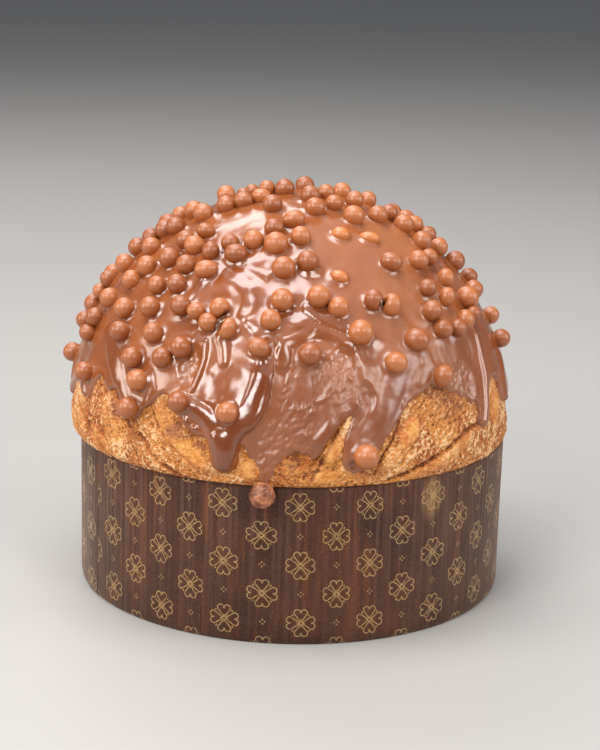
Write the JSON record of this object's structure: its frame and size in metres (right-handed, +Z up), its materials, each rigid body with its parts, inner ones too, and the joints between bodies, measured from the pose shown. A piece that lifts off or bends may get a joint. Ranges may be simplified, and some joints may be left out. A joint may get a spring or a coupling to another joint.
{
  "type": "panettone",
  "caption": "Domed sweet loaf in a round paper baking case, with a dripping milk-chocolate coating set with chocolate balls.",
  "frame": {"origin": "centre of the paper case's underside", "axes": "+Z up through the dome's top, front (the side the picture shows) towards -Y, +X to the right seen from the front"},
  "size_m": [0.1791, 0.1837, 0.1607],
  "materials": {
    "case_paper": "dark brown baking paper, matt and finely fluted, with a thin gold line print",
    "bread_crust": "golden to brown baked crust with torn, open crumb",
    "milk_chocolate": "set milk chocolate, glossy where it was poured and satin on the balls"
  },
  "bodies": {
    "root": {"paper_case": "case_paper", "bread": "bread_crust", "chocolate_coating": "milk_chocolate"}
  },
  "joints": []
}
